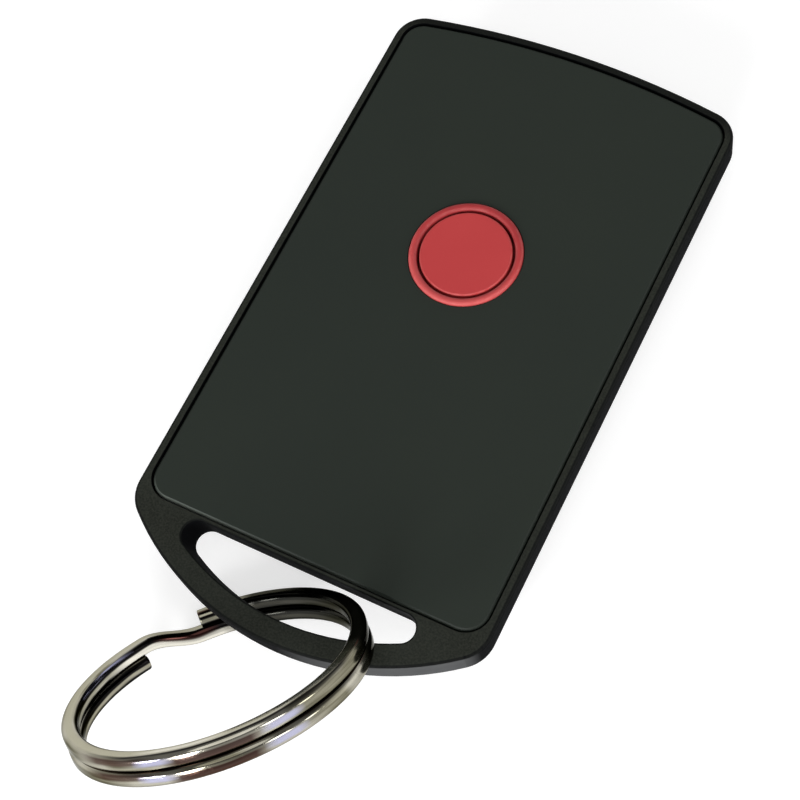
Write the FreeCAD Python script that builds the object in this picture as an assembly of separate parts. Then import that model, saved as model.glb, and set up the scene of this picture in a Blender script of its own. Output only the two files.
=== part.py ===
import FreeCAD, Part
import math
import os

# A slim one-button remote control fob with a split ring through the slot in its lower end.
# Millimetres. The origin is the middle of the flat back face, +Y points to the top end
# and +Z comes out of the front face.

# Body outline
body_width = 36.8
body_length = 66.9
body_thickness = 9.0
top_radius = 93.0
top_corner = 3.1
loop_radius = 27.2
loop_corner = 3.6
edge_round = 0.4

# Shell walls and heights
front_side = 2.0
least_top_corner = 0.6
least_lower_corner = 1.0
foot_inset = 2.71
joint_step = 0.12
side_wall = 1.4
back_wall = 1.1
back_round = 3.0
inner_round = 1.0
lower_corner = 4.5
lip_height = 0.9
lip_width = 0.8
lip_gap = 0.12

# Slot for the ring
loop_depth = 7.6
bar_width = 2.25
loop_thickness = 3.7
loop_side_height = 2.8
loop_underside_inset = 0.7
slot_end_radius = 1.4
slot_taper = 0.5
slot_lean = 0.36
slot_round = 0.2
slot_overrun = 1.0

# Face plate
rim_width = 0.8
plate_gap = 0.2
strip_width = 0.36
plate_thickness = 1.1
plate_bevel = 0.22
plate_corner = 2.5
adhesive_thickness = 0.15
adhesive_margin = 1.0
adhesive_corner = 1.0

# Button and its ring
button_x = -0.28
button_from_top = 24.9
button_diameter = 9.06
button_gap = 0.26
ring_wall = 0.81
ring_crest_round = 0.34
ring_lift = 0.3
button_height = 0.2
ring_height = 0.3
ring_flange = 0.88
ring_hole_gap = 0.08
button_top = 1.0
button_skirt = 0.65
button_flange = 0.74
flange_thickness = 0.45
button_clearance = 0.1
button_edge = 0.2
stem_diameter = 3.0
stem_gap = 0.05
well_gap = 0.25
well_depth = 0.7
well_wall = 1.95

# Circuit board
board_drop = 1.4
board_thickness = 0.8
board_inset = 2.75
board_corner = 2.0
post_diameter = 2.4
post_from_side = 6.1
upper_post_rise = 5.35
lower_post_rise = 8.0
pin_gap = 0.05

# Tactile switch
switch_size = 4.5
switch_base_height = 0.9
switch_well = 3.2
switch_floor = 0.2
cover_thickness = 0.15
cover_hole = 2.3
cover_tab = 1.6
cover_tab_height = 0.69
plunger_diameter = 2.0
plunger_flange = 2.6
plunger_flange_height = 0.18
plunger_round = 0.12
plunger_foot = 0.7
plunger_top = 1.5
dome_gap = 0.05
dome_rise = 0.48
dome_thickness = 0.06
terminal_width = 0.7
terminal_reach = 1.1
terminal_thickness = 0.15
terminal_spacing = 3.0

# Coin cell, its clip and its contact
cell_diameter = 20.0
cell_floor_gap = 0.1
cell_slot_gap = 6.35
cell_cap_step = 1.2
cell_cap_height = 0.3
cell_edge = 0.25
clip_thickness = 0.2
clip_width = 7.0
clip_gap = 0.25
clip_foot = 1.9
contact_size = 5.0
contact_pad = 3.0
contact_thickness = 0.1
pocket_gap = 0.5
pocket_wall = 1.2
pocket_board_gap = 1.2
pocket_opening = 9.0

# Screws and their bosses
screw_from_side = 7.9
screw_from_top = 7.95
screw_diameter = 1.9
screw_tip_gap = 0.4
head_diameter = 3.8
head_round = 0.3
head_height = 1.2
head_depth = 0.2
head_clearance = 0.2
screw_hole = 2.3
pilot_gap = 0.05
pilot_end = 0.1
post_outer = 5.0
boss_outer = 4.8
boss_board_gap = 0.3
boss_drop = 1.15
boss_gap = 0.05
driver_cross = 1.9
driver_width = 0.45
driver_depth = 0.7

# Parts soldered to the top of the board. Each place is across from the middle and
# down from the top end
chip_size = (5.0, 4.4, 1.0)
chip_place = (-5.0, 13.95)
chip_round = 0.15
lead_pitch = 1.02
lead_width = 0.4
lead_reach = 1.0
lead_inset = 0.1
lead_thickness = 0.15
standoff = 0.1
resonator_size = (3.8, 3.8, 1.1)
resonator_place = (5.2, 12.95)
resonator_lid = 0.35
resonator_lid_rise = 0.1
transistor_size = (2.9, 1.3, 1.0)
transistor_place = (0.4, 7.45)
transistor_pitch = 0.95
transistor_foot = 0.8
transistor_foot_out = 0.3
transistor_riser = 0.5
trimmer_size = (3.2, 2.6, 0.9)
trimmer_place = (0.2, 13.25)
trimmer_rotor = 2.0
rotor_rise = 0.2
rotor_slot_width = 0.4
rotor_slot_depth = 0.3
chip_part_size = (2.0, 1.25)
resistor_height = 0.5
capacitor_height = 0.8
side_part_gap = 4.2
resistor_places = ((-5.0, 18.85),)
resistor_sides = ((-1, 15.95), (-1, 18.75), (1, 16.25), (1, 31.95))
capacitor_places = ((-4.6, 8.25), (4.6, 8.25), (5.2, 16.75))
capacitor_sides = ((1, 13.45), (-1, 31.95))
antenna_wire = 0.7
antenna_from_side = 4.3
antenna_length = 27.45
antenna_from_top = 4.15
antenna_bend = 3.0

# Split ring: two turns of flattened wire, threaded round the bar at the lower end
ring_diameter = 28.0
wire_width = 1.5
wire_height = 1.45
turn_gap = 0.04
wire_round = 0.5
ring_tilt = 47.6
ring_uphill = -46.3
ring_cross_x = 5.0
ring_cross_gap = 1.73
crossing_start = 279.0
crossing_span = 24.0
crossing_steps = 8
wire_end_gap = 1.2

# Worked out from the sizes above
half_width = body_width / 2.0
half_length = body_length / 2.0
top_centre = half_length - top_radius
loop_centre = loop_radius - half_length
slot_far = loop_depth - half_length
slot_radius = loop_radius - bar_width
split_height = body_thickness - front_side
side_draft = (foot_inset - joint_step) / split_height
plate_bottom = body_thickness - plate_thickness
recess_floor = plate_bottom - adhesive_thickness
recess_end = slot_far + strip_width
board_top = split_height - board_drop
board_bottom = board_top - board_thickness
cell_top = board_bottom - 2.0 * contact_thickness
clip_low = back_wall + cell_floor_gap
cell_low = clip_low + clip_thickness
cell_y = slot_far + cell_slot_gap + cell_diameter / 2.0
button_y = half_length - button_from_top
ring_inner = button_diameter / 2.0 + button_gap
ring_outer = ring_inner + ring_wall
ring_flange_radius = ring_outer + ring_flange
ring_bottom = split_height + ring_lift
button_flange_top = ring_bottom - button_clearance
button_flange_bottom = button_flange_top - flange_thickness
button_flange_radius = button_diameter / 2.0 + button_flange
well_radius = button_flange_radius + well_gap
switch_top = board_top + switch_base_height + cover_thickness
plunger_top_height = board_top + plunger_top
screw_x = half_width - screw_from_side
screw_y = half_length - screw_from_top
screw_seat = head_depth + head_height
screw_tip = split_height - screw_tip_gap
boss_top = board_bottom - boss_drop
post_x = half_width - post_from_side
antenna_x = half_width - antenna_from_side
side_part_x = antenna_x - side_part_gap


def vec(x, y, z=0.0):
    return FreeCAD.Vector(x, y, z)


def cylinder(radius, low, high, x=0.0, y=0.0):
    return Part.makeCylinder(radius, high - low, vec(x, y, low))


def tube(outer, inner, low, high, x=0.0, y=0.0):
    return cylinder(outer, low, high, x, y).cut(cylinder(inner, low, high, x, y))


def block(size, low, x=0.0, y=0.0):
    wide, long, tall = size
    return Part.makeBox(wide, long, tall, vec(x - wide / 2.0, y - long / 2.0, low))


def edges_at(shape, height, tolerance=1e-4):
    # every edge that lies in the level plane at this height
    found = []
    for edge in shape.Edges:
        box = edge.BoundBox
        if abs(box.ZMin - height) < tolerance and abs(box.ZMax - height) < tolerance:
            found.append(edge)
    return found


def rounded_at(shape, height, radius):
    return shape.makeFillet(radius, edges_at(shape, height))


def tangent_corner(half, corner, radius, centre_y, side):
    # round between the straight side x = half and a circle on the centre line:
    # its point on the side, its middle and its point on the circle
    x = half - corner
    y = centre_y + side * math.sqrt((radius - corner) ** 2 - x ** 2)
    away = vec(x, y - centre_y).normalize()
    on_side = vec(half, y)
    on_circle = vec(0, centre_y) + away * radius
    middle = vec(x, y) + (away + vec(1, 0)).normalize() * corner
    return on_side, middle, on_circle


def square_corner(half, corner, end_y):
    x, y = half - corner, end_y + corner
    slant = corner * math.sqrt(0.5)
    return vec(half, y), vec(x + slant, y - slant), vec(x, end_y)


def mirrored(point):
    return vec(-point.x, point.y, point.z)


def outline(inset, height, end_y=None, end_corner=0.0):
    # the body's plan shape, moved in by inset. end_y gives it a straight lower end
    # in place of the loop's arc
    half = half_width - inset
    radius = top_radius - inset
    top = tangent_corner(half, max(top_corner - inset, least_top_corner), radius, top_centre, 1)
    if end_y is None:
        low = tangent_corner(half, loop_corner - inset, loop_radius - inset, loop_centre, -1)
        end = Part.Arc(mirrored(low[2]), vec(0, loop_centre - loop_radius + inset), low[2])
    else:
        low = square_corner(half, end_corner, end_y)
        end = Part.LineSegment(mirrored(low[2]), low[2])
    curves = [
        Part.LineSegment(low[0], top[0]),
        Part.Arc(*top),
        Part.Arc(top[2], vec(0, top_centre + radius), mirrored(top[2])),
        Part.Arc(mirrored(top[2]), mirrored(top[1]), mirrored(top[0])),
        Part.LineSegment(mirrored(top[0]), mirrored(low[0])),
        Part.Arc(mirrored(low[0]), mirrored(low[1]), mirrored(low[2])),
        end,
        Part.Arc(low[2], low[1], low[0]),
    ]
    wire = Part.Wire([curve.toShape() for curve in curves])
    wire.translate(vec(0, 0, height))
    return wire


def deep_outline(inset, height):
    # the thick part of the body, which stops at the slot
    corner = max(lower_corner - inset, least_lower_corner)
    return outline(inset, height, slot_far + inset, corner)


def slot_outline(height):
    # straight on the plate's side, concentric with the loop's end on the other. Towards
    # the back the straight side leans away from the ring and the other side comes in
    depth = (body_thickness - height) / loop_thickness
    radius = slot_radius - slot_taper * depth
    far_y = slot_far + slot_lean * depth
    end_y = far_y - slot_end_radius
    end_x = math.sqrt((radius - slot_end_radius) ** 2 - (loop_centre - end_y) ** 2)
    away = vec(end_x, end_y - loop_centre).normalize()
    far = vec(end_x, far_y)
    middle = vec(end_x, end_y) + (away + vec(0, 1)).normalize() * slot_end_radius
    near = vec(0, loop_centre) + away * radius
    curves = [
        Part.LineSegment(mirrored(far), far),
        Part.Arc(far, middle, near),
        Part.Arc(near, vec(0, loop_centre - radius), mirrored(near)),
        Part.Arc(mirrored(near), mirrored(middle), mirrored(far)),
    ]
    wire = Part.Wire([curve.toShape() for curve in curves])
    wire.translate(vec(0, 0, height))
    return wire


def prism(wire, height):
    return Part.Face(wire).extrude(vec(0, 0, height))


def loft(*wires):
    return Part.makeLoft(list(wires), True, True)


def slot_cutter():
    top = body_thickness + slot_overrun
    bottom = body_thickness - loop_thickness - slot_overrun
    return loft(slot_outline(bottom), slot_outline(top))


def screw_sides():
    return ((-screw_x, screw_y), (screw_x, screw_y))


def post_spots():
    heights = (button_y + upper_post_rise, slot_far + lower_post_rise)
    return [(side * post_x, y) for y in heights for side in (-1, 1)]


def make_front_shell():
    body = prism(outline(0.0, split_height), body_thickness - split_height)
    body = body.cut(slot_cutter())
    outer = [e for e in edges_at(body, body_thickness) if not near_slot(e)]
    body = body.makeFillet(edge_round, outer)
    inner = [e for e in edges_at(body, body_thickness) if near_slot(e)]
    body = body.makeFillet(slot_round, inner)
    recess = outline(rim_width, recess_floor, recess_end, plate_corner)
    body = body.cut(prism(recess, body_thickness))
    # lip that drops inside the rear shell
    lip_low = split_height - lip_height
    lip_inset = joint_step + side_wall + side_draft * lip_height + lip_gap
    lip = prism(deep_outline(lip_inset, lip_low), lip_height)
    lip = lip.cut(prism(deep_outline(lip_inset + lip_width, lip_low), lip_height))
    body = body.fuse(lip)
    # well that holds the button and its ring
    well_low = split_height - well_depth
    body = body.fuse(cylinder(well_radius + well_wall, well_low, recess_floor, button_x, button_y))
    for x, y in screw_sides():
        body = body.fuse(cylinder(boss_outer / 2.0, boss_top, recess_floor, x, y))
    for x, y in post_spots():
        body = body.fuse(cylinder(post_diameter / 2.0, board_top + pin_gap, recess_floor, x, y))
    body = body.cut(cylinder(well_radius, well_low, body_thickness, button_x, button_y))
    seat = ring_flange_radius + ring_hole_gap
    body = body.cut(cylinder(seat, ring_bottom, body_thickness, button_x, button_y))
    pilot = screw_diameter / 2.0 + pilot_gap
    for x, y in screw_sides():
        body = body.cut(cylinder(pilot, boss_top, split_height + pilot_end, x, y))
    return body.removeSplitter()


def near_slot(edge):
    # true for an edge of the slot, which lies inside the loop's outline
    point = edge.valueAt((edge.FirstParameter + edge.LastParameter) / 2.0)
    far_out = math.hypot(point.x, point.y - loop_centre)
    return point.y < slot_far + 0.01 and far_out < loop_radius - bar_width / 2.0


def make_rear_shell():
    body = loft(deep_outline(foot_inset, 0.0), deep_outline(joint_step, split_height))
    body = rounded_at(body, 0.0, back_round)
    # the lower half of the loop, drawn in towards its underside
    loop_low = body_thickness - loop_thickness
    loop_side = body_thickness - loop_side_height
    loop = prism(outline(0.0, loop_side), split_height - loop_side)
    loop = loop.fuse(loft(outline(loop_underside_inset, loop_low), outline(0.0, loop_side)))
    body = body.fuse(loop)
    body = body.cut(slot_cutter())
    # hollow inside
    top_inset = joint_step + side_wall
    low_inset = top_inset + side_draft * (split_height - back_wall)
    hollow = loft(deep_outline(low_inset, back_wall), deep_outline(top_inset, split_height))
    hollow = rounded_at(hollow, back_wall, inner_round)
    body = body.cut(hollow)
    for x, y in screw_sides():
        body = body.fuse(cylinder(post_outer / 2.0, back_wall, boss_top - boss_gap, x, y))
    for x, y in post_spots():
        body = body.fuse(cylinder(post_diameter / 2.0, back_wall, board_bottom, x, y))
    # low wall round the cell, open where the clip comes up
    inner = cell_diameter / 2.0 + pocket_gap
    pocket_top = board_bottom - pocket_board_gap
    pocket = tube(inner + pocket_wall, inner, back_wall, pocket_top, 0, cell_y)
    opening = (body_width, pocket_opening, body_thickness)
    body = body.fuse(pocket.cut(block(opening, back_wall, 0, cell_y)))
    for x, y in screw_sides():
        body = body.cut(cylinder(screw_hole / 2.0, 0, boss_top, x, y))
        wide = head_diameter / 2.0 + head_clearance
        body = body.cut(cylinder(wide, 0, screw_seat, x, y))
    return body.removeSplitter()


def make_face_plate():
    inset = rim_width + plate_gap
    wire = outline(inset, plate_bottom, recess_end + plate_gap, plate_corner - plate_gap)
    plate = prism(wire, plate_thickness)
    plate = plate.makeChamfer(plate_bevel, edges_at(plate, body_thickness))
    hole = ring_outer + ring_hole_gap
    return plate.cut(cylinder(hole, plate_bottom, body_thickness, button_x, button_y))


def make_adhesive_sheet():
    inset = rim_width + plate_gap + adhesive_margin
    end_y = recess_end + plate_gap + adhesive_margin
    sheet = prism(outline(inset, recess_floor, end_y, adhesive_corner), adhesive_thickness)
    hole = ring_flange_radius + 2.0 * ring_hole_gap
    return sheet.cut(cylinder(hole, recess_floor, plate_bottom, button_x, button_y))


def make_button_ring():
    top = body_thickness + ring_height
    ring = tube(ring_outer, ring_inner, ring_bottom, top, button_x, button_y)
    ring = rounded_at(ring, top, ring_crest_round)
    flange = tube(ring_flange_radius, ring_inner, ring_bottom, plate_bottom, button_x, button_y)
    return ring.fuse(flange).removeSplitter()


def make_button_cap():
    top = body_thickness + button_height
    radius = button_diameter / 2.0
    cap = cylinder(radius, button_flange_bottom, top, button_x, button_y)
    cap = rounded_at(cap, top, button_edge)
    flange = cylinder(button_flange_radius, button_flange_bottom, button_flange_top, button_x, button_y)
    cap = cap.fuse(flange)
    underside = top - button_top
    cap = cap.cut(cylinder(radius - button_skirt, button_flange_bottom, underside, button_x, button_y))
    stem_low = plunger_top_height + stem_gap
    cap = cap.fuse(cylinder(stem_diameter / 2.0, stem_low, underside, button_x, button_y))
    return cap.removeSplitter()


def make_switch_base():
    base = block((switch_size, switch_size, switch_base_height), board_top, button_x, button_y)
    well_low = board_top + switch_floor
    return base.cut(cylinder(switch_well / 2.0, well_low, switch_top, button_x, button_y))


def make_switch_cover():
    low = board_top + switch_base_height
    cover = block((switch_size, switch_size, cover_thickness), low, button_x, button_y)
    for side in (-1, 1):
        # tabs folded down over the base
        y = button_y + side * (switch_size + cover_thickness) / 2.0
        tab = (cover_tab, cover_thickness, cover_tab_height)
        cover = cover.fuse(block(tab, switch_top - cover_tab_height, button_x, y))
    return cover.cut(cylinder(cover_hole / 2.0, low, switch_top, button_x, button_y)).removeSplitter()


def make_switch_plunger():
    foot = board_top + plunger_foot
    plunger = cylinder(plunger_diameter / 2.0, foot, plunger_top_height, button_x, button_y)
    plunger = rounded_at(plunger, plunger_top_height, plunger_round)
    flange = cylinder(plunger_flange / 2.0, foot, foot + plunger_flange_height, button_x, button_y)
    return plunger.fuse(flange).removeSplitter()


def make_switch_dome():
    # thin snap disc: a slice of a spherical shell standing on its rim
    low = board_top + switch_floor
    radius = switch_well / 2.0 - dome_gap
    sphere = (radius ** 2 + dome_rise ** 2) / (2.0 * dome_rise)
    centre = vec(button_x, button_y, low + dome_rise - sphere)
    dome = Part.makeSphere(sphere, centre).cut(Part.makeSphere(sphere - dome_thickness, centre))
    return dome.common(cylinder(radius, low, low + 2.0 * dome_rise, button_x, button_y))


def make_switch_terminals():
    tabs = []
    for side in (-1, 1):
        for end in (-1, 1):
            x = button_x + side * (switch_size + terminal_reach) / 2.0
            y = button_y + end * terminal_spacing / 2.0
            foot = block((terminal_reach, terminal_width, terminal_thickness), board_top, x, y)
            riser_x = button_x + side * (switch_size + terminal_thickness) / 2.0
            riser_size = (terminal_thickness, terminal_width, switch_base_height / 2.0)
            riser = block(riser_size, board_top, riser_x, y)
            tabs.append(foot.fuse(riser).removeSplitter())
    return Part.makeCompound(tabs)


def make_circuit_board():
    wire = outline(board_inset, board_bottom, slot_far + board_inset, board_corner)
    board = prism(wire, board_thickness)
    hole = boss_outer / 2.0 + boss_board_gap
    for x, y in screw_sides():
        board = board.cut(cylinder(hole, board_bottom, board_top, x, y))
    return board


def on_board(place):
    across, down = place
    return across, half_length - down


def chip_lead(x, y, direction):
    # a gull-wing lead: a foot on the board and a riser against the package
    wide, _, tall = chip_size
    edge = wide / 2.0 - lead_inset
    foot_x = x + direction * (edge + lead_reach / 2.0)
    foot = block((lead_reach, lead_width, lead_thickness), board_top, foot_x, y)
    riser_x = x + direction * (edge + lead_thickness / 2.0)
    riser = block((lead_thickness, lead_width, standoff + tall / 2.0), board_top, riser_x, y)
    return foot.fuse(riser)


def make_encoder_chip():
    tall = chip_size[2]
    x, y = on_board(chip_place)
    chip = block(chip_size, board_top + standoff, x, y)
    chip = rounded_at(chip, board_top + standoff + tall, chip_round)
    for number in range(4):
        row = y + (number - 1.5) * lead_pitch
        for direction in (-1, 1):
            chip = chip.fuse(chip_lead(x, row, direction))
    return chip.removeSplitter()


def make_resonator_can():
    wide, long, tall = resonator_size
    x, y = on_board(resonator_place)
    can = block(resonator_size, board_top, x, y)
    lid_size = (wide - 2.0 * resonator_lid, long - 2.0 * resonator_lid, tall)
    lid = block(lid_size, board_top + resonator_lid_rise, x, y)
    return can.fuse(lid).removeSplitter()


def make_output_transistor():
    long = transistor_size[1]
    x, y = on_board(transistor_place)
    part = block(transistor_size, board_top + standoff, x, y)
    for across, side in ((-transistor_pitch, -1), (transistor_pitch, -1), (0.0, 1)):
        foot_y = y + side * (long / 2.0 + transistor_foot_out)
        foot = (lead_width, transistor_foot, lead_thickness)
        part = part.fuse(block(foot, board_top, x + across, foot_y))
        riser = (lead_width, lead_thickness, transistor_riser)
        part = part.fuse(block(riser, board_top, x + across, y + side * long / 2.0))
    return part.removeSplitter()


def make_tuning_trimmer():
    tall = trimmer_size[2]
    x, y = on_board(trimmer_place)
    part = block(trimmer_size, board_top, x, y)
    top = board_top + tall + rotor_rise
    part = part.fuse(cylinder(trimmer_rotor / 2.0, board_top, top, x, y))
    slot = (trimmer_rotor, rotor_slot_width, rotor_slot_depth)
    return part.cut(block(slot, top - rotor_slot_depth, x, y)).removeSplitter()


def make_chip_parts(places, sides, tall):
    wide, long = chip_part_size
    spots = list(places) + [(side * side_part_x, down) for side, down in sides]
    parts = []
    for spot in spots:
        x, y = on_board(spot)
        parts.append(block((wide, long, tall), board_top, x, y))
    return Part.makeCompound(parts)


def make_resistors():
    return make_chip_parts(resistor_places, resistor_sides, resistor_height)


def make_capacitors():
    return make_chip_parts(capacitor_places, capacitor_sides, capacitor_height)


def make_antenna_loop():
    # round wire standing on the board, from one side round the top end to the other
    height = board_top + antenna_wire / 2.0
    top = half_length - antenna_from_top
    turn = antenna_x - antenna_bend
    slant = antenna_bend * math.sqrt(0.5)
    start = vec(antenna_x, half_length - antenna_length)
    first = vec(antenna_x, top - antenna_bend)
    bend = vec(turn + slant, top - antenna_bend + slant)
    second = vec(turn, top)
    curves = [
        Part.LineSegment(start, first),
        Part.Arc(first, bend, second),
        Part.LineSegment(second, mirrored(second)),
        Part.Arc(mirrored(second), mirrored(bend), mirrored(first)),
        Part.LineSegment(mirrored(first), mirrored(start)),
    ]
    path = Part.Wire([curve.toShape() for curve in curves])
    section = Part.Wire(Part.makeCircle(antenna_wire / 2.0, start, vec(0, 1, 0)))
    loop = path.makePipeShell([section], True, False)
    loop.translate(vec(0, 0, height))
    return loop


def make_coin_cell():
    shoulder = cell_top - cell_cap_height
    can = cylinder(cell_diameter / 2.0, cell_low, shoulder, 0, cell_y)
    can = can.makeFillet(cell_edge, edges_at(can, cell_low) + edges_at(can, shoulder))
    cap = cylinder(cell_diameter / 2.0 - cell_cap_step, shoulder, cell_top, 0, cell_y)
    return can.fuse(cap).removeSplitter()


def make_battery_clip():
    inner = cell_diameter / 2.0 + clip_gap
    outer = inner + clip_thickness
    clip = block((2.0 * outer, clip_width, clip_thickness), clip_low, 0, cell_y)
    leg = (clip_thickness, clip_width, board_bottom - clip_low)
    foot = (clip_foot, clip_width, clip_thickness)
    for side in (-1, 1):
        clip = clip.fuse(block(leg, clip_low, side * (inner + clip_thickness / 2.0), cell_y))
        foot_x = side * (inner + clip_foot / 2.0)
        clip = clip.fuse(block(foot, board_bottom - clip_thickness, foot_x, cell_y))
    return clip.removeSplitter()


def make_battery_contact():
    low = board_bottom - contact_thickness
    leaf = block((contact_size, contact_size, contact_thickness), low, 0, cell_y)
    return leaf.fuse(cylinder(contact_pad / 2.0, cell_top, low, 0, cell_y)).removeSplitter()


def make_case_screws():
    screws = []
    for x, y in screw_sides():
        screw = cylinder(head_diameter / 2.0, head_depth, screw_seat, x, y)
        screw = rounded_at(screw, head_depth, head_round)
        screw = screw.fuse(cylinder(screw_diameter / 2.0, screw_seat, screw_tip, x, y))
        for wide, long in ((driver_cross, driver_width), (driver_width, driver_cross)):
            screw = screw.cut(block((wide, long, driver_depth), head_depth, x, y))
        screws.append(screw.removeSplitter())
    return Part.makeCompound(screws)


def wire_section(angle, level):
    # the flattened wire's section, in the half plane at this angle about the ring's axis
    middle = (ring_diameter - wire_width) / 2.0
    half_wide, half_tall = wire_width / 2.0, wire_height / 2.0
    across, along = half_wide - wire_round, half_tall - wire_round
    slant = wire_round * math.sqrt(0.5)
    curves = []
    corners = ((1, 1), (-1, 1), (-1, -1), (1, -1))
    for number, (sx, sy) in enumerate(corners):
        side = vec(sx * half_wide, 0, sy * along)
        cap = vec(sx * across, 0, sy * half_tall)
        bend = vec(sx * (across + slant), 0, sy * (along + slant))
        start, stop = (side, cap) if sx == sy else (cap, side)
        curves.append(Part.Arc(start, bend, stop))
        nx, ny = corners[(number + 1) % 4]
        if sx == sy:
            curves.append(Part.LineSegment(stop, vec(nx * across, 0, ny * half_tall)))
        else:
            curves.append(Part.LineSegment(stop, vec(nx * half_wide, 0, ny * along)))
    wire = Part.Wire([curve.toShape() for curve in curves])
    wire.translate(vec(middle, 0, level))
    wire.rotate(vec(0, 0, 0), vec(0, 0, 1), angle)
    return wire


def make_split_ring():
    # flat turns joined by the short crossing where the wire steps from one to the other
    level = (wire_height + turn_gap) / 2.0
    sweep = 360.0 - crossing_span - wire_end_gap
    axis = vec(0, 0, 1)
    crossing_end = crossing_start + crossing_span
    upper = Part.Face(wire_section(crossing_start - wire_end_gap, level))
    upper = upper.revolve(vec(0, 0, 0), axis, -sweep)
    lower = Part.Face(wire_section(crossing_end + wire_end_gap, -level))
    lower = lower.revolve(vec(0, 0, 0), axis, sweep)
    sections = []
    for step in range(crossing_steps + 1):
        share = step / crossing_steps
        drop = level * math.cos(math.pi * share)
        sections.append(wire_section(crossing_end - crossing_span * share, drop))
    crossing = Part.makeLoft(sections, True, False)
    ring = upper.fuse([crossing, lower])
    ring.Placement = ring_placement()
    return ring


def ring_placement():
    # the ring leans on the bar: it stands on the floor, passes through the slot at a
    # named place and slopes up towards the lower right
    tilt, uphill = math.radians(ring_tilt), math.radians(ring_uphill)
    slope = vec(math.cos(tilt) * math.cos(uphill), math.cos(tilt) * math.sin(uphill), math.sin(tilt))
    level = vec(math.sin(uphill), -math.cos(uphill), 0)
    axis = level.cross(slope)
    middle = (ring_diameter - wire_width) / 2.0
    reach = ring_diameter / 2.0 - wire_round
    stack = wire_height + turn_gap / 2.0 - wire_round
    centre_height = wire_round + reach * math.sin(tilt) + stack * math.cos(tilt)
    cross_height = body_thickness - loop_thickness / 2.0
    rise = (cross_height - centre_height) / (middle * math.sin(tilt))
    offset = slope * (middle * rise) - level * (middle * math.sqrt(1.0 - rise ** 2))
    through = vec(ring_cross_x, slot_far - ring_cross_gap, cross_height)
    centre = through - offset
    turn = FreeCAD.Rotation(level, slope, axis, "ZXY")
    return FreeCAD.Placement(centre, turn)


nodes = {
    "front_shell": make_front_shell,
    "rear_shell": make_rear_shell,
    "face_plate": make_face_plate,
    "adhesive_sheet": make_adhesive_sheet,
    "button_ring": make_button_ring,
    "button_cap": make_button_cap,
    "switch_base": make_switch_base,
    "switch_cover": make_switch_cover,
    "switch_plunger": make_switch_plunger,
    "switch_dome": make_switch_dome,
    "switch_terminals": make_switch_terminals,
    "circuit_board": make_circuit_board,
    "encoder_chip": make_encoder_chip,
    "resonator_can": make_resonator_can,
    "output_transistor": make_output_transistor,
    "tuning_trimmer": make_tuning_trimmer,
    "resistors": make_resistors,
    "capacitors": make_capacitors,
    "antenna_loop": make_antenna_loop,
    "coin_cell": make_coin_cell,
    "battery_clip": make_battery_clip,
    "battery_contact": make_battery_contact,
    "case_screws": make_case_screws,
    "split_ring": make_split_ring,
}

os.makedirs("parts", exist_ok=True)
for name, make in nodes.items():
    shape = make()
    shape.exportStep("parts/" + name + ".step")
    print(name, "valid", shape.isValid(), "solids", len(shape.Solids), "volume", round(shape.Volume, 2))
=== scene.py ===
import math

import bmesh
import bpy
from mathutils import Matrix, Vector


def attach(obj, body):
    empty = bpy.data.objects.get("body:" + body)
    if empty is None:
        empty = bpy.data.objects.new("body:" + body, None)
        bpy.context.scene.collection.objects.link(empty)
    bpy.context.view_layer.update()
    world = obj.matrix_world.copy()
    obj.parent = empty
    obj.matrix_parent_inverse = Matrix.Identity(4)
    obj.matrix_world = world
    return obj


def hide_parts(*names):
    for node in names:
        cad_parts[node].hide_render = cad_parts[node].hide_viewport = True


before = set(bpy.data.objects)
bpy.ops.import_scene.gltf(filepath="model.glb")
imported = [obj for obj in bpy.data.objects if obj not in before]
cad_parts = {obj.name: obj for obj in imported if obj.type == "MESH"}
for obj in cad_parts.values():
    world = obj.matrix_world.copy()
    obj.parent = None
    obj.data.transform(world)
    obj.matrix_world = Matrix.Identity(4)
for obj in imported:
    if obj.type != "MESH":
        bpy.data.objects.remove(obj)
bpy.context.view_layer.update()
print("frame loaded:", len(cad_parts), "nodes")

mm = 0.001


def inMetres(lengths):
    return [length * mm for length in lengths]


def fromScreen(red, green, blue):
    # a colour as it looks on screen, 0 to 255, turned into the linear values that nodes use
    def channel(value):
        value /= 255.0
        return value / 12.92 if value <= 0.04045 else ((value + 0.055) / 1.055) ** 2.4
    return (channel(red), channel(green), channel(blue), 1.0)


# Camera

viewpoint = {
    "location": (48.81, -55.98, 154.73),  # mm
    "right": (0.882, 0.4479, -0.1464),
    "up": (-0.3614, 0.8423, 0.4),
    "lens": 77.53,
    "shift": (0.0078, -0.0031),
}


def makeCamera(view):
    camera = bpy.data.objects.new("camera", bpy.data.cameras.new("camera"))
    bpy.context.scene.collection.objects.link(camera)
    right = Vector(view["right"]).normalized()
    back = right.cross(Vector(view["up"])).normalized()
    turn = Matrix((right, back.cross(right), back)).transposed()
    camera.matrix_world = Matrix.Translation(Vector(view["location"]) * mm) @ turn.to_4x4()
    camera.data.lens = view["lens"]
    camera.data.shift_x, camera.data.shift_y = view["shift"]
    camera.data.clip_start, camera.data.clip_end = 0.005, 20.0
    bpy.context.scene.camera = camera


makeCamera(viewpoint)
print("camera placed")


# Node helpers

def fill(tree, socket, value):
    # another node's socket is linked, and a plain value is set
    if isinstance(value, bpy.types.NodeSocket):
        tree.links.new(value, socket)
    else:
        socket.default_value = value


def addNode(tree, kind, **values):
    node = tree.nodes.new(kind)
    for name, value in values.items():
        fill(tree, node.inputs[name], value)
    return node


def mathNode(tree, operation, first, second=0.0):
    node = tree.nodes.new("ShaderNodeMath")
    node.operation = operation
    fill(tree, node.inputs[0], first)
    fill(tree, node.inputs[1], second)
    return node.outputs[0]


def times(tree, *factors):
    product = factors[0]
    for factor in factors[1:]:
        product = mathNode(tree, "MULTIPLY", product, factor)
    return product


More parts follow.
